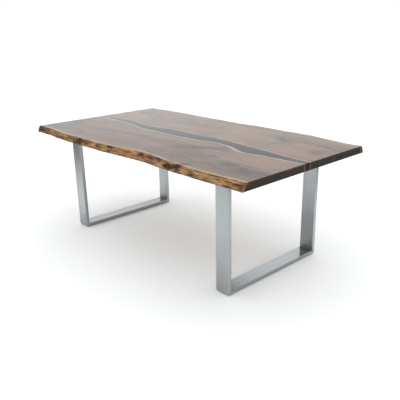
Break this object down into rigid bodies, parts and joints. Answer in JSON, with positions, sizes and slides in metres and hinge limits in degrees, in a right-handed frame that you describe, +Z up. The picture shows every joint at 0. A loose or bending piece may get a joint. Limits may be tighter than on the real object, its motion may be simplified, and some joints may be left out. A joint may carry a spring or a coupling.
{
  "type": "dining table",
  "caption": "Dining table with natural-edged walnut slabs joined by a smoky resin river, on brushed steel frame legs with levelling feet.",
  "frame": {"origin": "on the floor, under the middle of the table top", "axes": "+X along the table to its right end, +Y to its back, +Z up"},
  "size_m": [2.1, 1.1509, 0.766],
  "materials": {
    "walnut": "satin",
    "resin": "gloss",
    "leg_steel": "brushed",
    "channel_steel": "satin",
    "zinc_steel": "satin",
    "insert_brass": "satin",
    "nylon": "matte"
  },
  "bodies": {
    "table": {"front_slab": "walnut", "back_slab": "walnut", "resin_river": "resin", "left_front_post": "leg_steel", "left_back_post": "leg_steel", "left_foot_bar": "leg_steel", "left_top_plate": "leg_steel", "left_channel": "channel_steel", "left_leg_bolts": "zinc_steel", "left_leg_washers": "zinc_steel", "left_leg_inserts": "insert_brass", "left_channel_bolts": "zinc_steel", "left_channel_washers": "zinc_steel", "left_channel_inserts": "insert_brass", "left_foot_nuts": "zinc_steel", "right_front_post": "leg_steel", "right_back_post": "leg_steel", "right_foot_bar": "leg_steel", "right_top_plate": "leg_steel", "right_channel": "channel_steel", "right_leg_bolts": "zinc_steel", "right_leg_washers": "zinc_steel", "right_leg_inserts": "insert_brass", "right_channel_bolts": "zinc_steel", "right_channel_washers": "zinc_steel", "right_channel_inserts": "insert_brass", "right_foot_nuts": "zinc_steel"},
    "front_left_foot": {"front_left_glide": "nylon", "front_left_stud": "zinc_steel"},
    "front_right_foot": {"front_right_glide": "nylon", "front_right_stud": "zinc_steel"},
    "back_left_foot": {"back_left_glide": "nylon", "back_left_stud": "zinc_steel"},
    "back_right_foot": {"back_right_glide": "nylon", "back_right_stud": "zinc_steel"}
  },
  "joints": [
    {"name": "front_left_foot_travel", "type": "slide", "parent": "table", "child": "front_left_foot", "axis": [0, 0, -1], "range_m": [0, 0.008]},
    {"name": "front_right_foot_travel", "type": "slide", "parent": "table", "child": "front_right_foot", "axis": [0, 0, -1], "range_m": [0, 0.008]},
    {"name": "back_left_foot_travel", "type": "slide", "parent": "table", "child": "back_left_foot", "axis": [0, 0, -1], "range_m": [0, 0.008]},
    {"name": "back_right_foot_travel", "type": "slide", "parent": "table", "child": "back_right_foot", "axis": [0, 0, -1], "range_m": [0, 0.008]}
  ]
}
